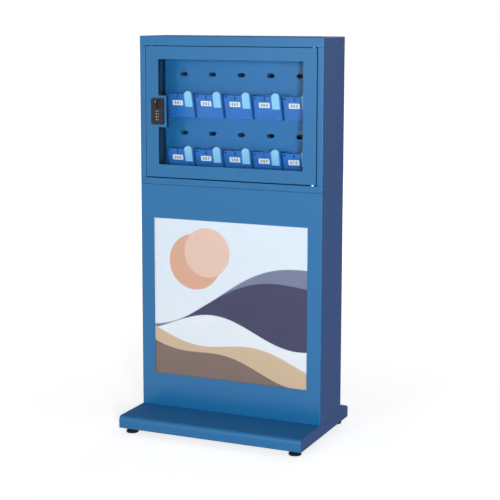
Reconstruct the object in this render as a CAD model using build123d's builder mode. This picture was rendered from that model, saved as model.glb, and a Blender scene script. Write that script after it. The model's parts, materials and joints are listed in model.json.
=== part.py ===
"""Phone locker box: a glazed cabinet of ten phone pockets on a poster column with a wide footed base.

The origin is on the floor under the middle of the base, +X to the viewer's right, +Y to the back, +Z up.
All sizes are in millimetres.
"""

import os
from math import atan2, cos, isclose, radians, tan

from build123d import *

os.makedirs("parts", exist_ok=True)

# ---------------------------------------------------------------- overall sizes
sheet = 1.5
body_width = 600
body_depth = 180
base_depth = 402
base_height = 38
front_overhang = 156
foot_height = 17
column_height = 702
cabinet_height = 453

# ---------------------------------------------------------------- sheet metal details
base_bend = 12
body_bend = 3
seam_bend = 1.2
base_lip = 20
base_lip_bend = 2.25
rear_flange = 16
front_return = 14
weld_flange = 18
rail_width = 50
rail_sheet = 2
plate_sheet = 2

# ---------------------------------------------------------------- feet
foot_inset = 30
foot_radius = 19
foot_pad_height = 11
foot_pad_edge = 1
foot_pad_taper = 3
foot_pad_crown = 2
foot_neck_radius = 9
foot_neck_gap = 0.5
stud_radius = 5
stud_length = 26
thread_clearance = 0.05
nut_width = 17
nut_height = 8

# ---------------------------------------------------------------- poster
window_side_border = 45
window_end_border = 104.5
poster_overlap = 10
poster_cover_sheet = 2
poster_paper = 0.5
poster_board = 3
poster_margin = 2
clip_width = 16
clip_tongue = 14
clip_foot = 12
clip_sheet = 1.2

# ---------------------------------------------------------------- cabinet
top_cap_height = 29
bottom_cap_height = 20
cap_lip = 16
jamb_width = 18.5
jamb_return = 15
screw_inset = 60
entry_radius = 16
entry_rise = 60
grommet_wall = 3.5
grommet_flange = 4
grommet_flange_sheet = 2.5

# ---------------------------------------------------------------- pocket panel
panel_recess_depth = 90
panel_side_gap = 40
panel_gap = 4
panel_flange = 20
bracket_height = 330
bracket_foot = 20
hole_row_pitch = 181.5
hole_rise = 134
hole_width = 24
hole_height = 13

# ---------------------------------------------------------------- phone pockets
pocket_columns = 5
pocket_side_margin = 18.75
pocket_gap = 20.5
pocket_row_pitch = 168
pocket_rise = 16
pocket_height = 72
pocket_top_depth = 44
pocket_bottom_depth = 26
pocket_wall = 2
pocket_offset = 26.5
crest_height = 10
crest_width = 39
crest_middle_inset = 20
shoulder_drop = 3
slit_offset = 24
slit_width = 2.6
slit_depth = 10
slit_eye_radius = 3
light_width = 24.5
light_inset = 4.5
light_height = 50
light_sheet = 1.2
plate_width = 35
plate_height = 16
plate_thickness = 0.8
plate_corner = 1.5
plate_offset = 22.5
plate_rise = 46.5
wing_width = 12
wing_corner = 3
wing_slot_width = 8
wing_slot_height = 5
wing_slot_drop = 6
pocket_screw_rise = 53
pocket_screw_inset = 10

# ---------------------------------------------------------------- door
door_depth = 20
door_gap_left = 1.5
door_gap_right = 3
door_gap_top = 1.5
door_gap_bottom = 3
door_edge_bend = 1.2
stile_left = 43
stile_right = 41.5
door_rail = 39.25
glass_thickness = 4
glass_overlap = 10
gasket_width = 4
gasket_depth = 12.5
retainer_step = 2
retainer_gap = 0.2
tab_width = 27
tab_height = 96

# ---------------------------------------------------------------- hinge
hinge_inset = 12
hinge_setback = 8
pin_radius = 3
pin_clearance = 0.05
bush_wall = 2
bush_length = 12
pin_engagement = 10
pin_collar_radius = 5.5
pin_head = 2
collar_gap = 0.3

# ---------------------------------------------------------------- lock
lock_width = 40
lock_height = 80
lock_proud = 9
lock_corner = 4
lock_edge = 1.5
lock_rise = 2
lock_body_width = 32
lock_body_height = 72
lock_centre_inset = 42
lock_cutout_gap = 0.5
knob_rise = 23
knob_radius = 12.5
knob_disc = 3
knob_grip_width = 6
knob_grip_height = 5
knob_gap = 0.3
spindle_radius = 4
spindle_hole_gap = 1
turn_clearance = 0.05
cam_length = 54
cam_width = 15
cam_sheet = 3
cam_gap = 1.2
cam_nut_height = 3
wheel_count = 4
wheel_pitch = 8.5
wheel_width = 6.6
wheel_radius = 8
wheel_proud = 1.6
wheel_first_rise = 0.5
wheel_facets = 10
wheel_clearance = 0.6
wheel_chamfer = 0.5
axle_radius = 1.5
axle_seat = 4
strike_gap = 1.0
strike_height = 40
strike_leg = 22

# ---------------------------------------------------------------- fasteners
bolt_radius = 3
bolt_head_width = 10
bolt_head_height = 4
bolt_inset = 30
bolt_tail = 1
screw_radius = 2
screw_head_radius = 4
screw_head_height = 2.4
screw_length = 8
small_screw_radius = 1.5
small_head_radius = 2.8
small_head_height = 1.6

# ---------------------------------------------------------------- places worked out from the sizes
half_width = body_width / 2
base_front = -base_depth / 2
body_front = base_front + front_overhang
body_back = body_front + body_depth
body_middle = (body_front + body_back) / 2
base_bottom = foot_height
base_top = base_bottom + base_height
column_top = base_top + column_height
cabinet_top = column_top + cabinet_height
inner_half_width = half_width - sheet
inner_back = body_back - 2 * sheet

window_width = body_width - 2 * window_side_border
window_height = column_height - 2 * window_end_border

opening_bottom = column_top + bottom_cap_height
opening_top = cabinet_top - top_cap_height
opening_middle = (opening_bottom + opening_top) / 2
opening_height = opening_top - opening_bottom
jamb_face = half_width - jamb_width

door_left = -jamb_face + door_gap_left
door_right = jamb_face - door_gap_right
door_bottom = opening_bottom + door_gap_bottom
door_top = opening_top - door_gap_top
door_middle_x = (door_left + door_right) / 2
door_middle_z = (door_bottom + door_top) / 2
door_width = door_right - door_left
door_height = door_top - door_bottom
door_back = body_front + door_depth
glass_opening_width = door_width - stile_left - stile_right
glass_opening_height = door_height - 2 * door_rail
glass_middle_x = door_left + stile_left + glass_opening_width / 2

bolt_x = half_width - sheet - rail_width / 2
bolt_ys = (body_front + bolt_inset, body_back - bolt_inset)
bolt_places = [(x, y) for x in (-bolt_x, bolt_x) for y in bolt_ys]

panel_front = body_front + panel_recess_depth
panel_width = body_width - 2 * panel_side_gap
column_pitch = (panel_width - 2 * pocket_side_margin) / pocket_columns
pocket_width = column_pitch - pocket_gap
pocket_lean = atan2(pocket_top_depth - pocket_bottom_depth, pocket_height)
lock_x = door_left + lock_centre_inset
lock_z = door_middle_z + lock_rise
knob_z = lock_z + knob_rise

# Two corners nearer than this are the same corner.
touch = 1e-4


def folded(plane, points, bend, thickness=sheet):
    """Section of a sheet folded along the mid-line through points."""
    with BuildSketch(plane) as section:
        with BuildLine():
            FilletPolyline(*points, radius=bend)
        trace(line_width=thickness)
    return section.sketch


def outer_end_edges(wall, z):
    """Edges of an upright sheet at height z that lie on the body's outline."""

    def on_outline(corner):
        return (
            isclose(abs(corner.X), half_width, abs_tol=touch)
            or isclose(corner.Y, body_front, abs_tol=touch)
            or isclose(corner.Y, body_back, abs_tol=touch)
        )

    level_edges = wall.edges().filter_by_position(Axis.Z, z - touch, z + touch)
    return level_edges.filter_by(lambda edge: all(on_outline(corner) for corner in edge.vertices()))


def save(piece, name):
    """Write one piece under its name."""
    piece.label = name
    export_step(piece, f"parts/{name}.step")


# ================================================================ base
# Cover: one sheet, its front and rear edges bent down and turned in at the bottom.
mid = sheet / 2
cover_points = [
    (base_front + base_lip, base_bottom + mid),
    (base_front + mid, base_bottom + mid),
    (base_front + mid, base_top - mid),
    (-base_front - mid, base_top - mid),
    (-base_front - mid, base_bottom + mid),
    (-base_front - base_lip, base_bottom + mid),
]
lip_bend = base_lip_bend - mid
cover_bends = [lip_bend, base_bend - mid, base_bend - mid, lip_bend]
cover_plane = Plane.YZ.offset(-inner_half_width)
with BuildPart() as base_cover:
    extrude(folded(cover_plane, cover_points, cover_bends), amount=2 * inner_half_width)
    with BuildSketch(Plane.XY.offset(base_top)):
        with Locations(*bolt_places):
            Circle(bolt_radius)
    extrude(amount=-sheet, mode=Mode.SUBTRACT)
save(base_cover.part, "base_cover")


def base_end(x):
    """Flat end plate, cut to the outline of the cover."""
    with BuildPart() as end:
        with BuildSketch(Plane.YZ.offset(x)) as outline:
            with Locations((0, base_bottom + base_height / 2)):
                Rectangle(base_depth, base_height)
            fillet(outline.vertices().group_by(Axis.Y)[-1], base_bend)
            fillet(outline.vertices().group_by(Axis.Y)[0], base_lip_bend)
        extrude(amount=sheet)
    return end.part


base_end_left = base_end(-half_width)
save(base_end_left, "base_end_left")
base_end_right = base_end(inner_half_width)
save(base_end_right, "base_end_right")

foot_x = half_width - foot_inset
foot_y = base_depth / 2 - foot_inset
foot_places = {
    "front_left": (-foot_x, -foot_y),
    "front_right": (foot_x, -foot_y),
    "rear_left": (-foot_x, foot_y),
    "rear_right": (foot_x, foot_y),
}
rail_bottom = base_bottom + sheet
rail_x = half_width - sheet - rail_width / 2


def base_rail(x):
    """Channel that lies on the cover's lips and carries two feet, its webs up against the cover."""
    web_height = base_top - sheet - rail_bottom
    rail_length = base_depth - 2 * base_bend
    rail_foot_x = foot_x if x > 0 else -foot_x
    with BuildPart() as rail:
        with BuildSketch(Plane.XY.offset(rail_bottom)):
            with Locations((x, 0)):
                Rectangle(rail_width, rail_length)
        extrude(amount=web_height)
        with BuildSketch(Plane.XY.offset(rail_bottom + rail_sheet)):
            with Locations((x, 0)):
                Rectangle(rail_width - 2 * rail_sheet, rail_length)
        extrude(amount=web_height, mode=Mode.SUBTRACT)
        with BuildSketch(Plane.XY.offset(rail_bottom)):
            with Locations((rail_foot_x, foot_y), (rail_foot_x, -foot_y)):
                Circle(stud_radius + thread_clearance)
        extrude(amount=rail_sheet, mode=Mode.SUBTRACT)
    return rail.part


base_rail_left = base_rail(-rail_x)
save(base_rail_left, "base_rail_left")
base_rail_right = base_rail(rail_x)
save(base_rail_right, "base_rail_right")

with BuildPart() as foot_nuts:
    with BuildSketch(Plane.XY.offset(rail_bottom + rail_sheet)):
        with Locations(*foot_places.values()):
            RegularPolygon(nut_width / 2, 6, major_radius=False)
            Circle(stud_radius + thread_clearance, mode=Mode.SUBTRACT)
    extrude(amount=nut_height)
save(foot_nuts.part, "foot_nuts")


def levelling_foot(x, y):
    """Round foot pad with a sloping top, its neck and its threaded stud."""
    neck_top = base_bottom - foot_neck_gap
    stud_top = neck_top + stud_length
    pad_shoulder = foot_pad_height - foot_pad_crown
    with BuildPart() as foot:
        with BuildSketch(Plane.XZ) as half:
            with BuildLine():
                Polyline(
                    (0, 0),
                    (foot_radius - foot_pad_edge, 0),
                    (foot_radius, foot_pad_edge),
                    (foot_radius, pad_shoulder - foot_pad_taper),
                    (foot_radius - foot_pad_taper, pad_shoulder),
                    (foot_neck_radius, foot_pad_height),
                    (foot_neck_radius, neck_top),
                    (stud_radius, neck_top),
                    (stud_radius, stud_top),
                    (0, stud_top),
                    close=True,
                )
            make_face()
        revolve(axis=Axis.Z)
    return Pos(x, y, 0) * foot.part


for place, (x, y) in foot_places.items():
    save(levelling_foot(x, y), f"foot_{place}")

# ================================================================ poster column
# Front sheet: short returns at both sides, with the poster window.
front_points = [
    (-half_width + mid, body_front + front_return),
    (-half_width + mid, body_front + mid),
    (half_width - mid, body_front + mid),
    (half_width - mid, body_front + front_return),
]
window_middle = base_top + window_end_border + window_height / 2
with BuildPart() as column_front:
    extrude(folded(Plane.XY.offset(base_top), front_points, body_bend - mid), amount=column_height)
    with BuildSketch(Plane.XZ.offset(-body_front)):
        with Locations((0, window_middle)):
            Rectangle(window_width, window_height)
    extrude(amount=-sheet, mode=Mode.SUBTRACT)
    for z in (base_top, column_top):
        fillet(outer_end_edges(column_front, z), seam_bend)
save(column_front.part, "column_front")

column_screw_zs = (base_top + screw_inset, (base_top + column_top) / 2, column_top - screw_inset)
cabinet_screw_zs = (opening_bottom + screw_inset, opening_top - screw_inset)
back_screw_x = half_width - rear_flange / 2
back_screw_zs = column_screw_zs + cabinet_screw_zs
back_screw_places = [(x, z) for x in (-back_screw_x, back_screw_x) for z in back_screw_zs]


def back_screw_circles():
    """The rear screws' holes, drawn on the rear face."""
    with BuildSketch(Plane.XZ.offset(-body_back)) as circles:
        with Locations(*back_screw_places):
            Circle(screw_radius)
    return circles.sketch


def column_side(side):
    """Side wall with a rear flange; side is -1 on the left and 1 on the right."""
    points = [
        (side * (half_width - mid), body_front + front_return),
        (side * (half_width - mid), body_back - mid),
        (side * (half_width - rear_flange), body_back - mid),
    ]
    with BuildPart() as wall:
        extrude(folded(Plane.XY.offset(base_top), points, body_bend - mid), amount=column_height)
        extrude(back_screw_circles(), amount=sheet, mode=Mode.SUBTRACT)
        for z in (base_top, column_top):
            fillet(outer_end_edges(wall, z), seam_bend)
    return wall.part


column_side_left = column_side(-1)
save(column_side_left, "column_side_left")
column_side_right = column_side(1)
save(column_side_right, "column_side_right")

# Flanged floor and top of the column, welded between the side walls.
plate_depth = inner_back - body_front - body_bend


def column_plate(z, up):
    """Plate across the column with flanges along the side walls; up is 1 or -1."""
    points = [
        (-inner_half_width + plate_sheet / 2, z + up * weld_flange),
        (-inner_half_width + plate_sheet / 2, z + up * plate_sheet / 2),
        (inner_half_width - plate_sheet / 2, z + up * plate_sheet / 2),
        (inner_half_width - plate_sheet / 2, z + up * weld_flange),
    ]
    with BuildPart() as plate:
        extrude(folded(Plane.XZ.offset(-inner_back), points, body_bend, plate_sheet), amount=plate_depth)
        with BuildSketch(Plane.XY.offset(z)):
            with Locations(*bolt_places):
                Circle(bolt_radius)
        extrude(amount=up * plate_sheet, mode=Mode.SUBTRACT)
    return plate.part


column_floor = column_plate(base_top, 1)
save(column_floor, "column_floor")
column_top_plate = column_plate(column_top, -1)
save(column_top_plate, "column_top")


def back_sheet(bottom, top):
    """Flat sheet behind the rear flanges, with its screw holes."""
    with BuildPart() as back:
        with BuildSketch(Plane.XZ.offset(-inner_back)):
            with Locations((0, (bottom + top) / 2)):
                Rectangle(2 * (half_width - body_bend), top - bottom)
            with Locations(*[(x, z) for x, z in back_screw_places if bottom < z < top]):
                Circle(screw_radius, mode=Mode.SUBTRACT)
        extrude(amount=-sheet)
    return back.part


column_back = back_sheet(base_top, column_top)
save(column_back, "column_back")

# The poster stack lies against the inside of the front sheet.
stack_width = window_width + 2 * poster_overlap
stack_height = window_height + 2 * poster_overlap
cover_front = body_front + sheet
paper_front = cover_front + poster_cover_sheet
board_front = paper_front + poster_paper
board_back = board_front + poster_board

with BuildPart() as poster_cover:
    with BuildSketch(Plane.XZ.offset(-cover_front)):
        with Locations((0, window_middle)):
            Rectangle(stack_width, stack_height)
    extrude(amount=-poster_cover_sheet)
save(poster_cover.part, "poster_cover")

with BuildPart() as poster_sheet:
    with BuildSketch(Plane.XZ.offset(-paper_front)):
        with Locations((0, window_middle)):
            Rectangle(stack_width - 2 * poster_margin, stack_height - 2 * poster_margin)
    extrude(amount=-poster_paper)
save(poster_sheet.part, "poster_sheet")

with BuildPart() as poster_backing:
    with BuildSketch(Plane.XZ.offset(-board_front)):
        with Locations((0, window_middle)):
            Rectangle(stack_width, stack_height)
    extrude(amount=-poster_board)
save(poster_backing.part, "poster_backing")

# Z-shaped clips: a foot on the front sheet, a riser past the stack and a tongue over the board.
clip_front = body_front + sheet
clip_back = board_back + clip_sheet
with BuildPart() as poster_clips:
    for z in (window_middle - stack_height / 4, window_middle + stack_height / 4):
        for side in (-1, 1):
            edge = side * (stack_width / 2 + clip_sheet / 2)
            points = [
                (edge + side * clip_foot, clip_front + clip_sheet / 2),
                (edge, clip_front + clip_sheet / 2),
                (edge, clip_back - clip_sheet / 2),
                (edge - side * clip_tongue, clip_back - clip_sheet / 2),
            ]
            extrude(folded(Plane.XY.offset(z - clip_width / 2), points, 0, clip_sheet), amount=clip_width)
    for x in (-stack_width / 4, stack_width / 4):
        for side in (-1, 1):
            edge = window_middle + side * (stack_height / 2 + clip_sheet / 2)
            points = [
                (clip_front + clip_sheet / 2, edge + side * clip_foot),
                (clip_front + clip_sheet / 2, edge),
                (clip_back - clip_sheet / 2, edge),
                (clip_back - clip_sheet / 2, edge - side * clip_tongue),
            ]
            extrude(folded(Plane.YZ.offset(x - clip_width / 2), points, 0, clip_sheet), amount=clip_width)
save(poster_clips.part, "poster_clips")


# ================================================================ cabinet
def cap(bottom, height, opens_down):
    """Tray with rounded edges and a lip turned in round its open side."""
    closed_bend = body_bend - mid
    lower_bend, upper_bend = (seam_bend, closed_bend) if opens_down else (closed_bend, seam_bend)
    with BuildPart() as tray:
        with BuildSketch(Plane.XY.offset(bottom)):
            with Locations((0, body_middle)):
                RectangleRounded(body_width, body_depth, body_bend)
        extrude(amount=height)
        fillet(tray.faces().filter_by(Axis.Z).sort_by(Axis.Z)[0].edges(), lower_bend)
        fillet(tray.faces().filter_by(Axis.Z).sort_by(Axis.Z)[-1].edges(), upper_bend)
        with BuildSketch(Plane.XY.offset(bottom + sheet)):
            with Locations((0, body_middle)):
                RectangleRounded(body_width - 2 * sheet, body_depth - 2 * sheet, body_bend - mid)
        extrude(amount=height - 2 * sheet, mode=Mode.SUBTRACT)
        with BuildSketch(Plane.XY.offset(bottom if opens_down else bottom + height - sheet)):
            with Locations((0, body_middle)):
                Rectangle(body_width - 2 * cap_lip, body_depth - 2 * cap_lip)
        extrude(amount=sheet, mode=Mode.SUBTRACT)
    return tray.part


pivot_x = door_right - hinge_inset
pivot_y = body_front + hinge_setback
lip_bolt_x = half_width - cap_lip / 2
lip_bolt_ys = (body_front + body_depth / 3, body_back - body_depth / 3)
lip_bolt_places = [(x, y) for x in (-lip_bolt_x, lip_bolt_x) for y in lip_bolt_ys]

with BuildPart() as cabinet_top_cap:
    add(cap(opening_top, top_cap_height, True))
    with BuildSketch(Plane.XY.offset(opening_top)):
        with Locations((pivot_x, pivot_y)):
            Circle(pin_radius)
        with Locations(*lip_bolt_places):
            Circle(bolt_radius)
    extrude(amount=sheet, mode=Mode.SUBTRACT)
save(cabinet_top_cap.part, "cabinet_top_cap")

with BuildPart() as cabinet_bottom_cap:
    add(cap(column_top, bottom_cap_height, False))
    with BuildSketch(Plane.XY.offset(opening_bottom - sheet)):
        with Locations((pivot_x, pivot_y)):
            Circle(pin_radius)
        with Locations(*lip_bolt_places):
            Circle(bolt_radius)
    extrude(amount=sheet, mode=Mode.SUBTRACT)
    with BuildSketch(Plane.XY.offset(column_top)):
        with Locations(*bolt_places):
            Circle(bolt_radius)
    extrude(amount=sheet, mode=Mode.SUBTRACT)
save(cabinet_bottom_cap.part, "cabinet_bottom_cap")


def cabinet_side(side):
    """Side wall with the front jamb, a rear flange and a weld flange at each end."""
    points = [
        (side * (jamb_face + mid), body_front + jamb_return),
        (side * (jamb_face + mid), body_front + mid),
        (side * (half_width - mid), body_front + mid),
        (side * (half_width - mid), body_back - mid),
        (side * (half_width - rear_flange), body_back - mid),
    ]
    flange_x = side * (half_width - sheet - (cap_lip - sheet) / 2)
    flange_front = body_front + cap_lip
    flange_depth = body_depth - 2 * cap_lip
    bends = [mid, body_bend - mid, body_bend - mid]
    with BuildPart() as wall:
        extrude(folded(Plane.XY.offset(opening_bottom), points, bends), amount=opening_height)
        for z in (opening_bottom, opening_top):
            fillet(outer_end_edges(wall, z), seam_bend)
        for z in (opening_bottom, opening_top - sheet):
            with BuildSketch(Plane.XY.offset(z)):
                with Locations((flange_x, flange_front + flange_depth / 2)):
                    Rectangle(cap_lip - sheet, flange_depth)
                with Locations(*[(x, y) for x, y in lip_bolt_places if x * side > 0]):
                    Circle(bolt_radius, mode=Mode.SUBTRACT)
            extrude(amount=sheet)
        extrude(back_screw_circles(), amount=sheet, mode=Mode.SUBTRACT)
    return wall.part


cabinet_side_left = cabinet_side(-1)
save(cabinet_side_left, "cabinet_side_left")
cabinet_side_right = cabinet_side(1)
save(cabinet_side_right, "cabinet_side_right")

entry_z = opening_bottom + entry_rise
with BuildPart() as cabinet_back:
    add(back_sheet(opening_bottom, opening_top))
    with BuildSketch(Plane.XZ.offset(-inner_back)):
        with Locations((0, entry_z)):
            Circle(entry_radius)
    extrude(amount=-sheet, mode=Mode.SUBTRACT)
save(cabinet_back.part, "cabinet_back")

grommet_front = inner_back - grommet_flange_sheet
grommet_back = inner_back + sheet + grommet_flange_sheet
grommet_bore = entry_radius - grommet_wall
with BuildPart() as cable_entry_grommet:
    with BuildSketch(Plane.XZ.offset(-grommet_front)):
        with Locations((0, entry_z)):
            Circle(entry_radius + grommet_flange)
            Circle(grommet_bore, mode=Mode.SUBTRACT)
    extrude(amount=-grommet_flange_sheet)
    with BuildSketch(Plane.XZ.offset(-inner_back)):
        with Locations((0, entry_z)):
            Circle(entry_radius)
            Circle(grommet_bore, mode=Mode.SUBTRACT)
    extrude(amount=-sheet)
    with BuildSketch(Plane.XZ.offset(-inner_back - sheet)):
        with Locations((0, entry_z)):
            Circle(entry_radius + grommet_flange)
            Circle(grommet_bore, mode=Mode.SUBTRACT)
    extrude(amount=-grommet_flange_sheet)
save(cable_entry_grommet.part, "cable_entry_grommet")

# ---------------------------------------------------------------- pocket panel and its brackets
panel_bottom = opening_bottom + panel_gap
panel_edge = panel_width / 2
panel_points = [
    (-panel_edge + mid, panel_front + panel_flange),
    (-panel_edge + mid, panel_front + mid),
    (panel_edge - mid, panel_front + mid),
    (panel_edge - mid, panel_front + panel_flange),
]
middle_column = (pocket_columns - 1) / 2
column_xs = [(k - middle_column) * column_pitch for k in range(pocket_columns)]
hole_zs = (opening_bottom + hole_rise, opening_bottom + hole_rise + hole_row_pitch)
pocket_zs = (opening_bottom + pocket_rise, opening_bottom + pocket_rise + pocket_row_pitch)
pocket_lefts = [x - pocket_offset for x in column_xs]
pocket_screw_places = [
    (left + inset, bottom + pocket_screw_rise)
    for bottom in pocket_zs
    for left in pocket_lefts
    for inset in (pocket_screw_inset, pocket_width - pocket_screw_inset)
]
panel_screw_y = panel_front + (panel_flange + sheet) / 2
panel_screw_zs = (opening_middle - bracket_height / 3, opening_middle + bracket_height / 3)

panel_height = opening_height - 2 * panel_gap
with BuildPart() as pocket_panel:
    extrude(folded(Plane.XY.offset(panel_bottom), panel_points, body_bend - mid), amount=panel_height)
    with BuildSketch(Plane.XZ.offset(-panel_front)):
        with Locations(*[(x, z) for x in column_xs for z in hole_zs]):
            SlotOverall(hole_width, hole_height)
        with Locations(*pocket_screw_places):
            Circle(small_screw_radius)
    extrude(amount=-sheet, mode=Mode.SUBTRACT)
    with BuildSketch(Plane.YZ.offset(-panel_edge)):
        with Locations(*[(panel_screw_y, z) for z in panel_screw_zs]):
            Circle(screw_radius)
    extrude(amount=panel_width, mode=Mode.SUBTRACT)
save(pocket_panel.part, "pocket_panel")


def panel_bracket(side):
    """Angle from the rear sheet to the panel's side flange."""
    web = panel_edge - sheet - mid
    points = [
        (side * web, panel_front + 2 * sheet),
        (side * web, inner_back - mid),
        (side * (web - bracket_foot), inner_back - mid),
    ]
    bracket_plane = Plane.XY.offset(opening_middle - bracket_height / 2)
    with BuildPart() as bracket:
        extrude(folded(bracket_plane, points, sheet), amount=bracket_height)
        with BuildSketch(Plane.YZ.offset(side * web - sheet)):
            with Locations(*[(panel_screw_y, z) for z in panel_screw_zs]):
                Circle(screw_radius)
        extrude(amount=2 * sheet, mode=Mode.SUBTRACT)
    return bracket.part


panel_bracket_left = panel_bracket(-1)
save(panel_bracket_left, "panel_bracket_left")
panel_bracket_right = panel_bracket(1)
save(panel_bracket_right, "panel_bracket_right")

# ================================================================ phone pockets
crest_start = pocket_width - crest_width
crest_middle = pocket_width - crest_middle_inset
shoulder_direction = (-0.3, 1)
crest_end_direction = (-1, 0)
slope_rise = pocket_height / cos(pocket_lean)
crest_rise = slope_rise + crest_height
shoulder_rise = slope_rise - shoulder_drop


def front_plane(left, bottom):
    """Plane of a pocket's leaning front: X to the right, Y up the slope, Z towards the viewer."""
    corner = Vector(left, panel_front - pocket_bottom_depth, bottom)
    up_slope = Vector(0, pocket_bottom_depth - pocket_top_depth, pocket_height)
    return Plane(origin=corner, x_dir=Vector(1, 0, 0), z_dir=Vector(1, 0, 0).cross(up_slope))


def front_outline(plane):
    """Outline of the front: level on the left, with a crest over the light insert on the right."""
    with BuildSketch(plane) as outline:
        with BuildLine():
            Line((crest_start, slope_rise), (0, slope_rise))
            Line((0, slope_rise), (0, 0))
            Line((0, 0), (pocket_width, 0))
            Line((pocket_width, 0), (pocket_width, shoulder_rise))
            Spline(
                (pocket_width, shoulder_rise),
                (crest_middle, crest_rise),
                (crest_start, slope_rise),
                tangents=[shoulder_direction, crest_end_direction],
            )
        make_face()
    return outline.sketch


def light_insert(left, bottom):
    """Pale insert, let into the face of the pocket's front on the right."""
    plane = front_plane(left, bottom)
    light_middle = pocket_width - light_inset - light_width / 2
    with BuildPart() as insert:
        extrude(front_outline(plane), amount=-light_sheet)
        insert_bottom = crest_rise - light_height
        with BuildSketch(plane):
            with Locations((light_middle, insert_bottom + light_height)):
                Rectangle(light_width, 2 * light_height)
        extrude(amount=-light_sheet, mode=Mode.INTERSECT)
    return insert.part


def phone_pocket(left, bottom):
    """Open-topped tray with a leaning front and a slotted wing on its left, fixed to the panel."""
    rim = bottom + pocket_height
    front_wall = pocket_wall / cos(pocket_lean)
    floor_depth = pocket_bottom_depth + pocket_wall * tan(pocket_lean)
    plane = front_plane(left, bottom)
    eye_rise = slope_rise - slit_depth
    with BuildPart() as pocket:
        with BuildSketch(Plane.YZ.offset(left)):
            with BuildLine():
                Polyline(
                    (panel_front, bottom),
                    (panel_front - pocket_bottom_depth, bottom),
                    (panel_front - pocket_top_depth, rim),
                    (panel_front, rim),
                    close=True,
                )
            make_face()
        extrude(amount=pocket_width)
        with BuildSketch(Plane.YZ.offset(left + pocket_wall)):
            with BuildLine():
                Polyline(
                    (panel_front - pocket_wall, bottom + pocket_wall),
                    (panel_front - floor_depth + front_wall, bottom + pocket_wall),
                    (panel_front - pocket_top_depth + front_wall, rim),
                    (panel_front - pocket_wall, rim),
                    close=True,
                )
            make_face()
        extrude(amount=pocket_width - 2 * pocket_wall, mode=Mode.SUBTRACT)
        extrude(front_outline(plane), amount=-pocket_wall)
        with BuildSketch(plane):
            with Locations((slit_offset, eye_rise)):
                Circle(slit_eye_radius)
            with Locations((slit_offset, eye_rise + slit_depth / 2)):
                Rectangle(slit_width, slit_depth)
        extrude(amount=-pocket_wall, mode=Mode.SUBTRACT)
        with BuildSketch(plane) as wing:
            with Locations((-wing_width / 2, slope_rise / 2)):
                Rectangle(wing_width, slope_rise)
            fillet(wing.vertices().group_by(Axis.X)[0].sort_by(Axis.Y)[-1], wing_corner)
            with Locations((-wing_width / 2, slope_rise - wing_slot_drop)):
                SlotOverall(wing_slot_width, wing_slot_height, mode=Mode.SUBTRACT)
        extrude(amount=-pocket_wall)
        add(light_insert(left, bottom), mode=Mode.SUBTRACT)
        with BuildSketch(Plane.XZ.offset(-panel_front)):
            with Locations(*pocket_screw_places):
                Circle(small_screw_radius)
        extrude(amount=pocket_wall, mode=Mode.SUBTRACT)
    return pocket.part


pocket_places = [(left, bottom) for bottom in reversed(pocket_zs) for left in pocket_lefts]
for number, (left, bottom) in enumerate(pocket_places, start=1):
    save(phone_pocket(left, bottom), f"phone_pocket_{number:02d}")

with BuildPart() as pocket_lights:
    for left, bottom in pocket_places:
        add(light_insert(left, bottom))
save(pocket_lights.part, "pocket_lights")

with BuildPart() as number_plates:
    for left, bottom in pocket_places:
        with BuildSketch(front_plane(left, bottom)):
            with Locations((plate_offset, plate_rise)):
                RectangleRounded(plate_width, plate_height, plate_corner)
        extrude(amount=plate_thickness)
save(number_plates.part, "number_plates")

with BuildPart() as pocket_screws:
    with BuildSketch(Plane.XZ.offset(-panel_front + pocket_wall)):
        with Locations(*pocket_screw_places):
            Circle(small_head_radius)
    extrude(amount=small_head_height)
    with BuildSketch(Plane.XZ.offset(-panel_front + pocket_wall)):
        with Locations(*pocket_screw_places):
            Circle(small_screw_radius)
    extrude(amount=-screw_length)
save(pocket_screws.part, "pocket_screws")

# ================================================================ door
tab_edge = door_left + stile_left + tab_width


def door_opening(plane, grow):
    """The glazed opening with the lock's tab left standing, grown by a margin on every side."""
    with BuildSketch(plane) as opening:
        with Locations((glass_middle_x, door_middle_z)):
            Rectangle(glass_opening_width + 2 * grow, glass_opening_height + 2 * grow)
        with Locations((tab_edge - grow - tab_width, lock_z)):
            Rectangle(2 * tab_width, tab_height - 2 * grow, mode=Mode.SUBTRACT)
    return opening.sketch


bush_radius = pin_radius + pin_clearance + bush_wall
with BuildPart() as door_frame:
    with BuildSketch(Plane.XZ.offset(-body_front)):
        with Locations((door_middle_x, door_middle_z)):
            Rectangle(door_width, door_height)
    extrude(amount=-door_depth)
    fillet(door_frame.faces().sort_by(Axis.Y)[0].edges(), door_edge_bend)
    with BuildSketch(Plane.XZ.offset(-body_front - sheet)):
        with Locations((door_middle_x, door_middle_z)):
            Rectangle(door_width - 2 * sheet, door_height - 2 * sheet)
    extrude(amount=-door_depth, mode=Mode.SUBTRACT)
    extrude(door_opening(Plane.XZ.offset(-body_front), 0), amount=-sheet, mode=Mode.SUBTRACT)
    with BuildSketch(Plane.XZ.offset(-body_front)):
        with Locations((lock_x, lock_z)):
            Rectangle(lock_body_width + 2 * lock_cutout_gap, lock_body_height + 2 * lock_cutout_gap)
    extrude(amount=-sheet, mode=Mode.SUBTRACT)
    with BuildSketch(Plane.XY.offset(door_bottom)):
        with Locations((pivot_x, pivot_y)):
            Circle(bush_radius)
    extrude(amount=door_height, mode=Mode.SUBTRACT)
save(door_frame.part, "door_frame")

with BuildPart() as door_gasket:
    extrude(door_opening(Plane.XZ.offset(-body_front - sheet), gasket_width), amount=-gasket_depth)
    extrude(door_opening(Plane.XZ.offset(-body_front - sheet), 0), amount=-gasket_depth, mode=Mode.SUBTRACT)
save(door_gasket.part, "door_gasket")

glass_front = body_front + sheet + gasket_depth
glass_back = glass_front + glass_thickness
with BuildPart() as door_glass:
    extrude(door_opening(Plane.XZ.offset(-glass_front), glass_overlap), amount=-glass_thickness)
save(door_glass.part, "door_glass")

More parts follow.
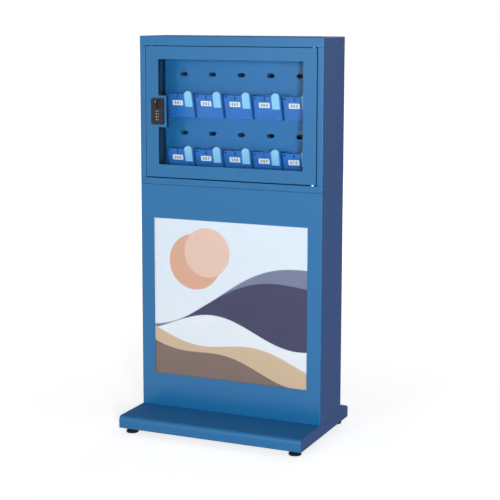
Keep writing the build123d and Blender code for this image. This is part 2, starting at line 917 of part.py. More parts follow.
# Retainer: a sheet behind the glass, its outer edges folded forward to the face of the frame.
retainer_width = door_width - 2 * (sheet + retainer_gap)
retainer_height = door_height - 2 * (sheet + retainer_gap)
with BuildPart() as glass_retainer:
    with BuildSketch(Plane.XZ.offset(-body_front - sheet)):
        with Locations((door_middle_x, door_middle_z)):
            Rectangle(retainer_width, retainer_height)
            Rectangle(retainer_width - 2 * sheet, retainer_height - 2 * sheet, mode=Mode.SUBTRACT)
    extrude(amount=-gasket_depth - glass_thickness)
    with BuildSketch(Plane.XZ.offset(-glass_back)):
        with Locations((door_middle_x, door_middle_z)):
            Rectangle(retainer_width, retainer_height)
    extrude(amount=-sheet)
    extrude(door_opening(Plane.XZ.offset(-glass_back), retainer_step), amount=-sheet, mode=Mode.SUBTRACT)
    with BuildSketch(Plane.XZ.offset(-glass_back)):
        with Locations((lock_x, knob_z)):
            Circle(spindle_radius + spindle_hole_gap)
    extrude(amount=-sheet, mode=Mode.SUBTRACT)
    with BuildSketch(Plane.XY.offset(door_bottom)):
        with Locations((pivot_x, pivot_y)):
            Circle(bush_radius)
    extrude(amount=door_height, mode=Mode.SUBTRACT)
save(glass_retainer.part, "glass_retainer")

# ---------------------------------------------------------------- hinge
with BuildPart() as hinge_pins:
    with BuildSketch(Plane.XY.offset(opening_bottom - sheet)):
        with Locations((pivot_x, pivot_y)):
            Circle(pin_radius)
    extrude(amount=sheet + door_gap_bottom + pin_engagement)
    with BuildSketch(Plane.XY.offset(opening_bottom)):
        with Locations((pivot_x, pivot_y)):
            Circle(pin_collar_radius)
    extrude(amount=door_gap_bottom - collar_gap)
    with BuildSketch(Plane.XY.offset(opening_bottom - sheet)):
        with Locations((pivot_x, pivot_y)):
            Circle(pin_collar_radius)
    extrude(amount=-pin_head)
    with BuildSketch(Plane.XY.offset(opening_top + sheet)):
        with Locations((pivot_x, pivot_y)):
            Circle(pin_radius)
    extrude(amount=-sheet - door_gap_top - pin_engagement)
    with BuildSketch(Plane.XY.offset(opening_top + sheet)):
        with Locations((pivot_x, pivot_y)):
            Circle(pin_collar_radius)
    extrude(amount=pin_head)
save(hinge_pins.part, "hinge_pins")

with BuildPart() as hinge_bushes:
    for plane, direction in ((Plane.XY.offset(door_bottom), 1), (Plane.XY.offset(door_top), -1)):
        with BuildSketch(plane):
            with Locations((pivot_x, pivot_y)):
                Circle(bush_radius)
                Circle(pin_radius + pin_clearance, mode=Mode.SUBTRACT)
        extrude(amount=direction * bush_length)
save(hinge_bushes.part, "hinge_bushes")

# ================================================================ lock
lock_front = body_front - lock_proud
wheel_facet = wheel_radius * cos(radians(180 / wheel_facets))
wheel_y = lock_front - wheel_proud + wheel_facet
wheel_zs = [lock_z + wheel_first_rise - k * wheel_pitch for k in range(wheel_count)]
axle_bottom = wheel_zs[-1] - wheel_width / 2 - axle_seat
axle_top = wheel_zs[0] + wheel_width / 2 + axle_seat
slot_height = wheel_width + wheel_clearance

with BuildPart() as lock_body:
    with BuildSketch(Plane.XZ.offset(-lock_front)):
        with Locations((lock_x, lock_z)):
            RectangleRounded(lock_width, lock_height, lock_corner)
    extrude(amount=-lock_proud)
    fillet(lock_body.faces().sort_by(Axis.Y)[0].edges(), lock_edge)
    with BuildSketch(Plane.XZ.offset(-body_front)):
        with Locations((lock_x, lock_z)):
            Rectangle(lock_body_width, lock_body_height)
    extrude(amount=body_front - glass_back)
    for z in wheel_zs:
        with BuildSketch(Plane.XY.offset(z - slot_height / 2)):
            with Locations((lock_x, wheel_y)):
                Circle(wheel_radius + wheel_clearance)
        extrude(amount=slot_height, mode=Mode.SUBTRACT)
    with BuildSketch(Plane.XY.offset(axle_bottom)):
        with Locations((lock_x, wheel_y)):
            Circle(axle_radius)
    extrude(amount=axle_top - axle_bottom, mode=Mode.SUBTRACT)
    with BuildSketch(Plane.XZ.offset(-lock_front)):
        with Locations((lock_x, knob_z)):
            Circle(spindle_radius + turn_clearance)
    extrude(amount=lock_front - glass_back, mode=Mode.SUBTRACT)
save(lock_body.part, "lock_body")

with BuildPart() as wheel_axle:
    with BuildSketch(Plane.XY.offset(axle_bottom)):
        with Locations((lock_x, wheel_y)):
            Circle(axle_radius)
    extrude(amount=axle_top - axle_bottom)
save(wheel_axle.part, "wheel_axle")


def number_wheel(z):
    """Ten-sided wheel that turns on the upright axle."""
    with BuildPart() as wheel:
        with BuildSketch(Plane.XY.offset(z - wheel_width / 2)):
            with Locations((lock_x, wheel_y)):
                RegularPolygon(wheel_radius, wheel_facets)
        extrude(amount=wheel_width)
        chamfer(wheel.edges().filter_by(GeomType.LINE).filter_by(Axis.Z, reverse=True), wheel_chamfer)
        with BuildSketch(Plane.XY.offset(z - wheel_width / 2)):
            with Locations((lock_x, wheel_y)):
                Circle(axle_radius + turn_clearance)
        extrude(amount=wheel_width, mode=Mode.SUBTRACT)
    return wheel.part


for number, z in enumerate(wheel_zs, start=1):
    save(number_wheel(z), f"number_wheel_{number}")

cam_front = door_back + cam_gap
cam_back = cam_front + cam_sheet
with BuildPart() as lock_knob:
    with BuildSketch(Plane.XZ.offset(-lock_front + knob_gap)):
        with Locations((lock_x, knob_z)):
            Circle(knob_radius)
    extrude(amount=knob_disc)
    with BuildSketch(Plane.XZ.offset(-lock_front + knob_gap + knob_disc)):
        with Locations((lock_x, knob_z)):
            SlotOverall(2 * knob_radius - knob_grip_width / 2, knob_grip_width, rotation=90)
    extrude(amount=knob_grip_height)
    with BuildSketch(Plane.XZ.offset(-lock_front + knob_gap)):
        with Locations((lock_x, knob_z)):
            Circle(spindle_radius)
    extrude(amount=lock_front - knob_gap - cam_back)
save(lock_knob.part, "lock_knob")

# The cam hangs down when the door is free and turns to the left behind the strike.
with BuildPart() as lock_cam:
    with BuildSketch(Plane.XZ.offset(-cam_front)):
        with Locations((lock_x, knob_z - (cam_length - cam_width / 2) / 2)):
            SlotOverall(cam_length + cam_width / 2, cam_width, rotation=90)
        with Locations((lock_x, knob_z)):
            Circle(spindle_radius, mode=Mode.SUBTRACT)
    extrude(amount=-cam_sheet)
    with BuildSketch(Plane.XZ.offset(-cam_back)):
        with Locations((lock_x, knob_z)):
            RegularPolygon(cam_width / 2, 6, major_radius=True)
    extrude(amount=-cam_nut_height)
save(lock_cam.part, "lock_cam")

# Strike: an angle on the left side wall, its plate just in front of the turned cam.
strike_back = cam_front - strike_gap
strike_points = [
    (-jamb_face - sheet - mid, strike_back - mid),
    (-inner_half_width + mid, strike_back - mid),
    (-inner_half_width + mid, strike_back + strike_leg),
]
with BuildPart() as lock_strike:
    extrude(folded(Plane.XY.offset(knob_z - strike_height / 2), strike_points, sheet), amount=strike_height)
save(lock_strike.part, "lock_strike")

# ================================================================ fasteners
def frame_bolt(x, y, head_face, grip, up):
    """Hexagon bolt and its nut clamping a grip; the head lies beyond head_face, up is 1 or -1."""
    nut_face = head_face - up * grip
    with BuildPart() as bolt:
        with BuildSketch(Plane.XY.offset(head_face)):
            with Locations((x, y)):
                RegularPolygon(bolt_head_width / 2, 6, major_radius=False)
        extrude(amount=up * bolt_head_height)
        with BuildSketch(Plane.XY.offset(head_face)):
            with Locations((x, y)):
                Circle(bolt_radius)
        extrude(amount=-up * (grip + bolt_head_height + bolt_tail))
        with BuildSketch(Plane.XY.offset(nut_face)):
            with Locations((x, y)):
                RegularPolygon(bolt_head_width / 2, 6, major_radius=False)
        extrude(amount=-up * bolt_head_height)
    return bolt.part


with BuildPart() as frame_bolts:
    for x, y in bolt_places:
        add(frame_bolt(x, y, base_top + plate_sheet, plate_sheet + sheet, 1))
        add(frame_bolt(x, y, column_top + sheet, sheet + plate_sheet, 1))
    for x, y in lip_bolt_places:
        add(frame_bolt(x, y, opening_bottom + sheet, 2 * sheet, 1))
        add(frame_bolt(x, y, opening_top - sheet, 2 * sheet, -1))
save(frame_bolts.part, "frame_bolts")

with BuildPart() as pan_screws:
    with BuildSketch(Plane.XZ.offset(-body_back)):
        with Locations(*back_screw_places):
            Circle(screw_head_radius)
    extrude(amount=-screw_head_height)
    extrude(back_screw_circles(), amount=screw_length)
    for side in (-1, 1):
        with BuildSketch(Plane.YZ.offset(side * panel_edge)):
            with Locations(*[(panel_screw_y, z) for z in panel_screw_zs]):
                Circle(screw_head_radius)
        extrude(amount=side * screw_head_height)
        with BuildSketch(Plane.YZ.offset(side * panel_edge)):
            with Locations(*[(panel_screw_y, z) for z in panel_screw_zs]):
                Circle(screw_radius)
        extrude(amount=-side * screw_length)
save(pan_screws.part, "pan_screws")
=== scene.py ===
import json
import math

import bmesh
import bpy
from mathutils import Matrix, Vector


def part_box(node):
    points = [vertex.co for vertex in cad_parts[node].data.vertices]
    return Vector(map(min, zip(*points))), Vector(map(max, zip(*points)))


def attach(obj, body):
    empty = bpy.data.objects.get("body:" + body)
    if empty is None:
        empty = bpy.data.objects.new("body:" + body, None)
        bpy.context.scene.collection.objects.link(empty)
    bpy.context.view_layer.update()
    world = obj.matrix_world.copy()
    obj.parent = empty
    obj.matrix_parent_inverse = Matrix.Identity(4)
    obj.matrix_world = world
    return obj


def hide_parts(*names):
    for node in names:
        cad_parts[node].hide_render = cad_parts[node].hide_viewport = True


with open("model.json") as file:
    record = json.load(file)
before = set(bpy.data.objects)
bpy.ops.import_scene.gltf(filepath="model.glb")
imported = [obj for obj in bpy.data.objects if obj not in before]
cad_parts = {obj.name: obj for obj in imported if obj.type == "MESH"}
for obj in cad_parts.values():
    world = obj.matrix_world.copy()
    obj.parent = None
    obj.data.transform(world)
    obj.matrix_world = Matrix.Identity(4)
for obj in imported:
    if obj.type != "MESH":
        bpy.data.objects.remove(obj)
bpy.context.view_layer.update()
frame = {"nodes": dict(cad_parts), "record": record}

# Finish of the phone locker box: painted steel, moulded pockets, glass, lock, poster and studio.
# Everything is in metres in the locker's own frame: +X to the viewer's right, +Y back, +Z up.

MM = 0.001

# ---------------------------------------------------------------- sizes of the added pieces
plate_digit_height = 9.5 * MM
plate_digit_width = 0.85
plate_digit_spacing = 1.55
plate_digit_relief = 0.15 * MM
plate_digit_weight = 0.2 * MM
wheel_digit_height = 4.3 * MM
wheel_digit_width = 0.8
wheel_digit_spacing = 1.0
wheel_digit_relief = 0.1 * MM
wheel_digit_weight = 0.08 * MM
digit_curve_steps = 4
digit_weld_share = 1 / 50
wheel_facets = 10
wheel_count = 4
pocket_count = 10
pocket_wing = 12 * MM
pocket_bottom_depth = 26 * MM
pocket_top_depth = 44 * MM
pocket_height = 72 * MM
plate_offset = 22.5 * MM
plate_rise = 46.5 * MM
plate_thickness = 0.8 * MM
panel_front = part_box("pocket_panel")[0].y
poster_air = 0.1 * MM
pointer_length = 5.5 * MM
pointer_width = 1.1 * MM
pointer_relief = 0.1 * MM
pointer_bevel = pointer_relief / 4

# ---------------------------------------------------------------- studio
# A light level of 1 is the white that the eye sees. Each gain and offset turn metres, or a direction's Y,
# into a share between 0 and 1.
world_light = 0.14
world_front = (2.0, 2.0, 2.0)
world_behind = (0.34, 0.12, 0.20)
world_front_gain, world_front_offset = -0.5, 0.5
floor_reach = 40.0
floor_glow = 0.71
floor_rise_gain, floor_rise_offset = 0.24, -0.10
floor_front_gain, floor_front_offset = -4.0, -0.5
unscattered_limit = 0.5

# Name, azimuth, distance, height, aim height, width, height of the face, power in watts.
lamps = [
    ("key_softbox", 31, 6.0, 1.05, 0.60, 0.60, 1.30, 192),
    ("front_softbox", -12, 6.0, 2.00, 0.55, 1.20, 1.20, 50),
    ("rear_softbox", 180, 6.0, 2.20, 0.60, 1.50, 1.20, 70),
]

camera_place = (1.68108, -3.71519, 1.27252)
camera_turn, camera_drop, camera_roll = 0.41383, 0.15042, 0.00198
camera_lens = 97.31
camera_sensor = 36.0
camera_shift = -0.06

# ---------------------------------------------------------------- colours, linear
paint_blue = (0.008, 0.160, 0.400)
# The pocket panel's blue is the same paint made brighter: painted light for the panel inside the cabinet.
brightened_panel_blue = (0.005, 0.181, 0.494)
pocket_blue = (0.012, 0.190, 0.680)
insert_blue = (0.270, 0.670, 0.980)
plate_white = (0.820, 0.920, 0.980)
ink_black = (0.010, 0.010, 0.014)
digit_white = (0.820, 0.830, 0.850)
lock_black = (0.012, 0.012, 0.014)
rubber_black = (0.010, 0.009, 0.014)
zinc_grey = (0.560, 0.570, 0.590)
brass_yellow = (0.620, 0.430, 0.180)
board_white = (0.720, 0.740, 0.760)
floor_white = (0.860, 0.860, 0.860)
dust_grey = (0.550, 0.550, 0.550)

poster_pale = (0.740, 0.840, 0.940)
poster_light = (0.820, 0.880, 0.940)
poster_navy = (0.022, 0.022, 0.075)
poster_slate = (0.160, 0.190, 0.300)
poster_peach = (0.720, 0.400, 0.280)
poster_rose = (0.800, 0.560, 0.460)
poster_tan = (0.640, 0.480, 0.320)
poster_umber = (0.190, 0.130, 0.110)

# ---------------------------------------------------------------- finish of the paint, plastics and panes
# A relief is the bump's strength and its depth in metres.
paint_relief = (0.12, 0.00012)
poster_relief = (0.04, 0.00003)
paint_specular = 0.4
black_specular = 0.2
dulled_roughness = 0.4
dust_amount = 0.01
dust_patch_scale, dust_patch_detail = 35.0, 4.0
dust_slope_gain, dust_slope_offset = 2.0, -1.0
drift_detail, grain_detail = 3.0, 2.0
pane_ior = 1.12
# The insert, the plates and the poster glow a little: painted light that brightens them, though they are no
# lamps.
insert_painted_glow, plate_painted_glow, poster_painted_glow = 0.12, 0.12, 0.15
disc_edge, wave_edge = 0.01, 0.01

# The print, in halves of its height from its middle; each layer lies over those before it.
poster_discs = [
    ((-0.46, 0.0, 0.46), 0.34, poster_peach),
    ((-0.30, 0.0, 0.58), 0.30, poster_rose),
]
# Level, slope, swing, beat and shift of a wave's line, and the colour below it.
poster_waves = [
    (0.10, 0.34, 0.14, 2.6, 0.4, poster_slate),
    (0.00, 0.26, 0.16, 2.4, 0.9, poster_navy),
    (-0.34, -0.04, 0.15, 2.9, 2.2, poster_light),
    (-0.56, -0.16, 0.08, 3.6, 0.2, poster_tan),
    (-0.74, -0.22, 0.06, 4.1, 1.6, poster_umber),
]


# ================================================================ shader groups
def new_group(name, inputs, outputs):
    """Empty shader node group with its sockets and its two end nodes."""
    group = bpy.data.node_groups.new(name, "ShaderNodeTree")
    for label, kind, value in inputs:
        socket = group.interface.new_socket(label, in_out="INPUT", socket_type=kind)
        if value is not None:
            socket.default_value = value
    for label, kind in outputs:
        group.interface.new_socket(label, in_out="OUTPUT", socket_type=kind)
    return group, group.nodes.new("NodeGroupInput"), group.nodes.new("NodeGroupOutput")


def number(tree, operation, first, second=None, third=None, clamp=False):
    """Math node fed by sockets or plain numbers."""
    node = tree.nodes.new("ShaderNodeMath")
    node.operation = operation
    node.use_clamp = clamp
    for place, value in enumerate((first, second, third)):
        if value is None:
            continue
        if isinstance(value, (int, float)):
            node.inputs[place].default_value = value
        else:
            tree.links.new(value, node.inputs[place])
    return node.outputs[0]


def blend_colour(tree, share, under, over):
    """Colour mix node; share, under and over are sockets or plain values."""
    node = tree.nodes.new("ShaderNodeMix")
    node.data_type = "RGBA"
    node.clamp_factor = True
    for socket, value in ((node.inputs[0], share), (node.inputs[6], under), (node.inputs[7], over)):
        if isinstance(value, (int, float)):
            socket.default_value = value
        elif isinstance(value, tuple):
            socket.default_value = (*value, 1.0)
        else:
            tree.links.new(value, socket)
    return node.outputs[2]


def noise(tree, vector, scale, detail):
    """Noise value between 0 and 1 at a place; scale is a socket or a plain value."""
    node = tree.nodes.new("ShaderNodeTexNoise")
    node.inputs["Detail"].default_value = detail
    if isinstance(scale, (int, float)):
        node.inputs["Scale"].default_value = scale
    else:
        tree.links.new(scale, node.inputs["Scale"])
    tree.links.new(vector, node.inputs["Vector"])
    return node.outputs[0]


def make_surface_group():
    """Slow drift of a colour, with roughness and height from a fine grain."""
    group, given, made = new_group(
        "surface_grain",
        [
            ("Vector", "NodeSocketVector", None),
            ("Colour", "NodeSocketColor", (0.5, 0.5, 0.5, 1.0)),
            ("Drift", "NodeSocketFloat", 0.06),
            ("Drift Scale", "NodeSocketFloat", 6.0),
            ("Grain Scale", "NodeSocketFloat", 900.0),
            ("Roughness", "NodeSocketFloat", 0.4),
            ("Roughness Spread", "NodeSocketFloat", 0.08),
        ],
        [("Colour", "NodeSocketColor"), ("Roughness", "NodeSocketFloat"), ("Height", "NodeSocketFloat")],
    )
    place = given.outputs["Vector"]
    slow = noise(group, place, given.outputs["Drift Scale"], drift_detail)
    fine = noise(group, place, given.outputs["Grain Scale"], grain_detail)
    swing = number(group, "MULTIPLY_ADD", slow, 2.0, -1.0)
    gain = number(group, "MULTIPLY_ADD", swing, given.outputs["Drift"], 1.0)
    scaled = group.nodes.new("ShaderNodeVectorMath")
    scaled.operation = "SCALE"
    group.links.new(given.outputs["Colour"], scaled.inputs[0])
    group.links.new(gain, scaled.inputs["Scale"])
    group.links.new(scaled.outputs[0], made.inputs["Colour"])
    half_slow, half_fine = (number(group, "MULTIPLY", layer, 0.5) for layer in (slow, fine))
    uneven = number(group, "ADD", half_slow, half_fine)
    centred = number(group, "SUBTRACT", uneven, 0.5)
    spread = number(group, "MULTIPLY", centred, given.outputs["Roughness Spread"])
    group.links.new(number(group, "ADD", spread, given.outputs["Roughness"]), made.inputs["Roughness"])
    group.links.new(fine, made.inputs["Height"])
    return group


def make_dust_group():
    """Thin pale dust that settles on faces that look up, and how far it dulls them."""
    group, given, made = new_group(
        "settled_dust",
        [
            ("Vector", "NodeSocketVector", None),
            ("Colour", "NodeSocketColor", (0.5, 0.5, 0.5, 1.0)),
            ("Amount", "NodeSocketFloat", 0.05),
        ],
        [("Colour", "NodeSocketColor"), ("Dullness", "NodeSocketFloat")],
    )
    normal = group.nodes.new("ShaderNodeSeparateXYZ")
    geometry = group.nodes.new("ShaderNodeNewGeometry")
    group.links.new(geometry.outputs["Normal"], normal.inputs[0])
    slope = (dust_slope_gain, dust_slope_offset)
    upward = number(group, "MULTIPLY_ADD", normal.outputs["Z"], *slope, clamp=True)
    patches = noise(group, given.outputs["Vector"], dust_patch_scale, dust_patch_detail)
    mask = number(group, "MULTIPLY", number(group, "MULTIPLY", upward, patches), given.outputs["Amount"])
    dusty = blend_colour(group, mask, given.outputs["Colour"], dust_grey)
    group.links.new(dusty, made.inputs["Colour"])
    group.links.new(upward, made.inputs["Dullness"])
    return group


surface_group = make_surface_group()
dust_group = make_dust_group()


# ================================================================ materials
class Finish:
    """A material under construction: its tree, its Principled shader and its place in the frame."""

    def __init__(self, name, **constants):
        self.material = bpy.data.materials.new(name)
        self.material.use_nodes = True
        self.tree = self.material.node_tree
        self.tree.nodes.clear()
        self.output = self.tree.nodes.new("ShaderNodeOutputMaterial")
        self.shader = self.tree.nodes.new("ShaderNodeBsdfPrincipled")
        self.tree.links.new(self.shader.outputs[0], self.output.inputs["Surface"])
        self.place = self.tree.nodes.new("ShaderNodeTexCoord").outputs["Object"]
        for label, value in constants.items():
            self.shader.inputs[label.replace("_", " ")].default_value = value

    def group(self, group, colour=None, **values):
        """Node of a shared group at the object's own place; colour is a socket or a plain value."""
        node = self.tree.nodes.new("ShaderNodeGroup")
        node.node_tree = group
        self.tree.links.new(self.place, node.inputs["Vector"])
        if isinstance(colour, tuple):
            node.inputs["Colour"].default_value = (*colour, 1.0)
        elif colour is not None:
            self.tree.links.new(colour, node.inputs["Colour"])
        for label, value in values.items():
            node.inputs[label.replace("_", " ")].default_value = value
        return node

    def feed(self, socket, label):
        """Link a socket to the Principled shader's input of that name."""
        self.tree.links.new(socket, self.shader.inputs[label])

    def bump(self, height, strength, distance):
        """Relief from a height; distance is its depth in metres."""
        node = self.tree.nodes.new("ShaderNodeBump")
        node.inputs["Strength"].default_value = strength
        node.inputs["Distance"].default_value = distance
        self.tree.links.new(height, node.inputs["Height"])
        self.feed(node.outputs[0], "Normal")


def grained(name, colour, relief, grain, **constants):
    """Plain finish with a drifting colour and a fine grain; relief is the bump's strength and depth."""
    finish = Finish(name, **constants)
    surface = finish.group(surface_group, colour, **grain)
    finish.feed(surface.outputs["Colour"], "Base Color")
    finish.feed(surface.outputs["Roughness"], "Roughness")
    finish.bump(surface.outputs["Height"], *relief)
    return finish


def powder_paint(name, colour):
    """Satin powder coat with its orange peel and a trace of dust."""
    finish = Finish(name, Specular_IOR_Level=paint_specular)
    grain = {
        "Drift": 0.03, "Drift_Scale": 5.0, "Grain_Scale": 700.0,
        "Roughness": 0.32, "Roughness_Spread": 0.1,
    }
    surface = finish.group(surface_group, colour, **grain)
    dust = finish.group(dust_group, surface.outputs["Colour"], Amount=dust_amount)
    finish.feed(dust.outputs["Colour"], "Base Color")
    dullness, roughness = dust.outputs["Dullness"], surface.outputs["Roughness"]
    finish.feed(number(finish.tree, "MULTIPLY_ADD", dullness, dulled_roughness, roughness), "Roughness")
    finish.bump(surface.outputs["Height"], *paint_relief)
    return finish.material


def pocket_plastic():
    grain = {
        "Drift": 0.05, "Drift_Scale": 20.0, "Grain_Scale": 1600.0,
        "Roughness": 0.28, "Roughness_Spread": 0.08,
    }
    coat = {"Coat_Weight": 0.08, "Coat_Roughness": 0.2}
    return grained("pocket_plastic", pocket_blue, (0.08, 0.00006), grain, **coat).material


def insert_plastic():
    """Pale translucent insert with a faint uneven glow, painted light that stands in for light shining
    through it.
    """
    grain = {
        "Drift": 0.06, "Drift_Scale": 30.0, "Grain_Scale": 1200.0,
        "Roughness": 0.22, "Roughness_Spread": 0.06,
    }
    shine = {"Coat_Weight": 0.3, "Emission_Strength": insert_painted_glow}
    finish = grained("insert_plastic", insert_blue, (0.05, 0.00005), grain, **shine)
    # Painted light: the insert glows unevenly in its own colour.
    glow = finish.group(surface_group, insert_blue, Drift=0.15, Drift_Scale=12.0)
    finish.feed(glow.outputs["Colour"], "Emission Color")
    return finish.material


def plate_plastic():
    """White plates, a little translucent; their faint glow is painted light standing in for light shining
    through them.
    """
    grain = {
        "Drift": 0.02, "Drift_Scale": 40.0, "Grain_Scale": 2000.0,
        "Roughness": 0.3, "Roughness_Spread": 0.05,
    }
    finish = grained("plate_plastic", plate_white, (0.05, 0.00004), grain, Emission_Strength=plate_painted_glow)
    # Painted light: the plates glow faintly in their own colour.
    glow = finish.group(surface_group, plate_white, Drift=0.04, Drift_Scale=40.0)
    finish.feed(glow.outputs["Colour"], "Emission Color")
    return finish.material


def ink():
    grain = {
        "Drift": 0.1, "Drift_Scale": 200.0, "Grain_Scale": 3000.0,
        "Roughness": 0.5, "Roughness_Spread": 0.1,
    }
    return grained("plate_ink", ink_black, (0.05, 0.00002), grain).material


def digit_paint():
    grain = {
        "Drift": 0.05, "Drift_Scale": 300.0, "Grain_Scale": 3000.0,
        "Roughness": 0.45, "Roughness_Spread": 0.1,
    }
    return grained("digit_paint", digit_white, (0.05, 0.00002), grain).material


def moulded_black():
    """Fine spark texture of the lock and the feet."""
    grain = {
        "Drift": 0.12, "Drift_Scale": 60.0, "Grain_Scale": 2600.0,
        "Roughness": 0.42, "Roughness_Spread": 0.12,
    }
    relief = (0.25, 0.0001)
    return grained("moulded_black", lock_black, relief, grain, Specular_IOR_Level=black_specular).material


def rubber():
    grain = {
        "Drift": 0.15, "Drift_Scale": 80.0, "Grain_Scale": 1500.0,
        "Roughness": 0.62, "Roughness_Spread": 0.1,
    }
    return grained("black_rubber", rubber_black, (0.15, 0.0001), grain).material


def zinc_plate():
    """Zinc plating, its roughness broken up by fine crystals."""
    grain = {
        "Drift": 0.12, "Drift_Scale": 120.0, "Grain_Scale": 1400.0,
        "Roughness": 0.34, "Roughness_Spread": 0.2,
    }
    return grained("zinc_plate", zinc_grey, (0.1, 0.00005), grain, Metallic=1.0).material


def turned_brass():
    grain = {
        "Drift": 0.08, "Drift_Scale": 200.0, "Grain_Scale": 2500.0,
        "Roughness": 0.25, "Roughness_Spread": 0.1,
    }
    return grained("turned_brass", brass_yellow, (0.08, 0.00003), grain, Metallic=1.0).material


def foamed_board():
    grain = {
        "Drift": 0.05, "Drift_Scale": 60.0, "Grain_Scale": 1000.0,
        "Roughness": 0.7, "Roughness_Spread": 0.1,
    }
    return grained("foamed_board", board_white, (0.2, 0.0001), grain).material


def clear_pane(name, tint):
    """Thin coated pane with weak reflections, open to the light that falls on what stands behind it."""
    finish = Finish(name, Transmission_Weight=1.0, IOR=pane_ior)
    wiped = {"Drift": 0.01, "Drift_Scale": 8.0, "Roughness": 0.02, "Roughness_Spread": 0.03}
    smears = finish.group(surface_group, tint, **wiped)
    finish.feed(smears.outputs["Colour"], "Base Color")
    finish.feed(smears.outputs["Roughness"], "Roughness")
    path = finish.tree.nodes.new("ShaderNodeLightPath")
    open_way = finish.tree.nodes.new("ShaderNodeBsdfTransparent")
    open_way.inputs[0].default_value = (*tint, 1.0)
    either = finish.tree.nodes.new("ShaderNodeMixShader")
    lighting = number(finish.tree, "MAXIMUM", path.outputs["Is Shadow Ray"], path.outputs["Is Diffuse Ray"])
    finish.tree.links.new(lighting, either.inputs[0])
    finish.tree.links.new(finish.shader.outputs[0], either.inputs[1])
    finish.tree.links.new(open_way.outputs[0], either.inputs[2])
    finish.tree.links.new(either.outputs[0], finish.output.inputs["Surface"])
    return finish.material


def make_disc_group():
    """Soft-edged disc: 1 inside, 0 outside."""
    group, given, made = new_group(
        "poster_disc",
        [
            ("Vector", "NodeSocketVector", None),
            ("Middle", "NodeSocketVector", (0.0, 0.0, 0.0)),
            ("Radius", "NodeSocketFloat", 0.5),
            ("Softness", "NodeSocketFloat", disc_edge),
        ],
        [("Mask", "NodeSocketFloat")],
    )
    away = group.nodes.new("ShaderNodeVectorMath")
    away.operation = "DISTANCE"
    group.links.new(given.outputs["Vector"], away.inputs[0])
    group.links.new(given.outputs["Middle"], away.inputs[1])
    inside = number(group, "SUBTRACT", given.outputs["Radius"], away.outputs["Value"])
    edge = number(group, "DIVIDE", inside, given.outputs["Softness"])
    group.links.new(number(group, "ADD", edge, 0.5, clamp=True), made.inputs["Mask"])
    return group


def make_wave_group():
    """Everything under a long wave: 1 below its line, 0 above."""
    group, given, made = new_group(
        "poster_wave",
        [
            ("Vector", "NodeSocketVector", None),
            ("Level", "NodeSocketFloat", 0.0),
            ("Slope", "NodeSocketFloat", 0.0),
            ("Swing", "NodeSocketFloat", 0.1),
            ("Beat", "NodeSocketFloat", 3.0),
            ("Shift", "NodeSocketFloat", 0.0),
            ("Softness", "NodeSocketFloat", wave_edge),
        ],
        [("Mask", "NodeSocketFloat")],
    )
    parts = group.nodes.new("ShaderNodeSeparateXYZ")
    group.links.new(given.outputs["Vector"], parts.inputs[0])
    across = parts.outputs["X"]
    angle = number(group, "MULTIPLY_ADD", across, given.outputs["Beat"], given.outputs["Shift"])
    swing = number(group, "MULTIPLY", number(group, "SINE", angle), given.outputs["Swing"])
    slope = number(group, "MULTIPLY_ADD", across, given.outputs["Slope"], given.outputs["Level"])
    below = number(group, "SUBTRACT", number(group, "ADD", slope, swing), parts.outputs["Z"])
    edge = number(group, "DIVIDE", below, given.outputs["Softness"])
    group.links.new(number(group, "ADD", edge, 0.5, clamp=True), made.inputs["Mask"])
    return group


def poster_print():
    """Abstract landscape of discs and long waves, printed on satin paper; the print also glows in its own
    colours, painted light that brightens it.
    """
    low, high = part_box("poster_sheet")
    sheet_middle = (low + high) / 2
    half_height = (high.z - low.z) / 2
    finish = Finish("poster_print", Emission_Strength=poster_painted_glow)
    moved = finish.tree.nodes.new("ShaderNodeMapping")
    moved.vector_type = "TEXTURE"
    moved.inputs["Location"].default_value = sheet_middle
    moved.inputs["Scale"].default_value = (half_height, half_height, half_height)
    finish.tree.links.new(finish.place, moved.inputs["Vector"])
    flat = finish.tree.nodes.new("ShaderNodeVectorMath")
    flat.operation = "MULTIPLY"
    flat.inputs[1].default_value = (1.0, 0.0, 1.0)
    finish.tree.links.new(moved.outputs[0], flat.inputs[0])
    disc_group, wave_group = make_disc_group(), make_wave_group()

    def mask(group, **values):
        node = finish.tree.nodes.new("ShaderNodeGroup")
        node.node_tree = group
        finish.tree.links.new(flat.outputs[0], node.inputs["Vector"])
        for label, value in values.items():
            node.inputs[label].default_value = value
        return node.outputs["Mask"]

    parts = finish.tree.nodes.new("ShaderNodeSeparateXYZ")
    finish.tree.links.new(flat.outputs[0], parts.inputs[0])
    height = number(finish.tree, "MULTIPLY_ADD", parts.outputs["Z"], 0.5, 0.5, clamp=True)
    colour = blend_colour(finish.tree, height, poster_light, poster_pale)
    for middle, radius, over in poster_discs:
        share = mask(disc_group, Middle=middle, Radius=radius)
        colour = blend_colour(finish.tree, share, colour, over)
    for *line, over in poster_waves:
        share = mask(wave_group, **dict(zip(("Level", "Slope", "Swing", "Beat", "Shift"), line)))
        colour = blend_colour(finish.tree, share, colour, over)
    grain = {
        "Drift": 0.03, "Drift_Scale": 9.0, "Grain_Scale": 2500.0,
        "Roughness": 0.45, "Roughness_Spread": 0.06,
    }
    surface = finish.group(surface_group, colour, **grain)
    finish.feed(surface.outputs["Colour"], "Base Color")
    # Painted light: the print's colours also feed its glow.
    finish.feed(surface.outputs["Colour"], "Emission Color")
    finish.feed(surface.outputs["Roughness"], "Roughness")
    finish.bump(surface.outputs["Height"], *poster_relief)
    return finish.material


paint = powder_paint("blue_powder_paint", paint_blue)
# A brighter copy of the same paint for the pocket panel: painted light.
brightened_panel_paint = powder_paint("brightened_panel_powder_paint", brightened_panel_blue)
zinc = zinc_plate()
black = moulded_black()
black_rubber = rubber()
white_ink = digit_paint()
black_ink = ink()
pocket_finish = pocket_plastic()

